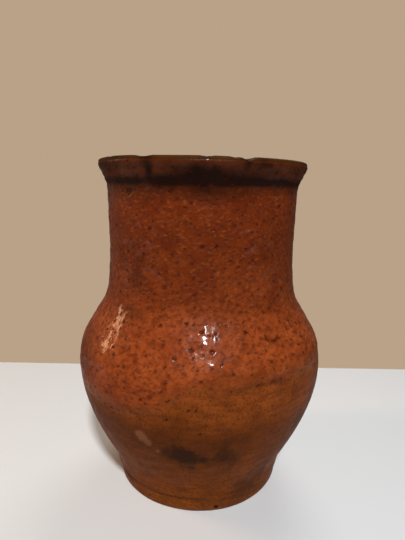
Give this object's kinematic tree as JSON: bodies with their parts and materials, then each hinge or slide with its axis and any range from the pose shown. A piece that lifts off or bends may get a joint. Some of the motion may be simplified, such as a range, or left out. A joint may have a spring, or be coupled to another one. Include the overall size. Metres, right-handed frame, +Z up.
{
  "type": "earthenware milk jug",
  "caption": "Handleless wheel-thrown earthenware milk jug with a tall neck, flared collar, round belly and narrow foot, glazed inside and over its upper half.",
  "frame": {"origin": "middle of the underside of the foot, on the table", "axes": "+Z up along the pot's own axis; -Y is the front, the side that faces the viewer; +X to the viewer's right"},
  "size_m": [0.152, 0.152, 0.2],
  "materials": {
    "fired_clay": "semi-matt red-brown earthenware, sooted in places",
    "brown_glaze": "glossy, pitted reddish-brown lead-type glaze",
    "inner_glaze": "glossy dark brown glaze"
  },
  "bodies": {
    "root": {"clay_body": "fired_clay", "outer_glaze": "brown_glaze", "inner_glaze": "inner_glaze"}
  },
  "joints": []
}
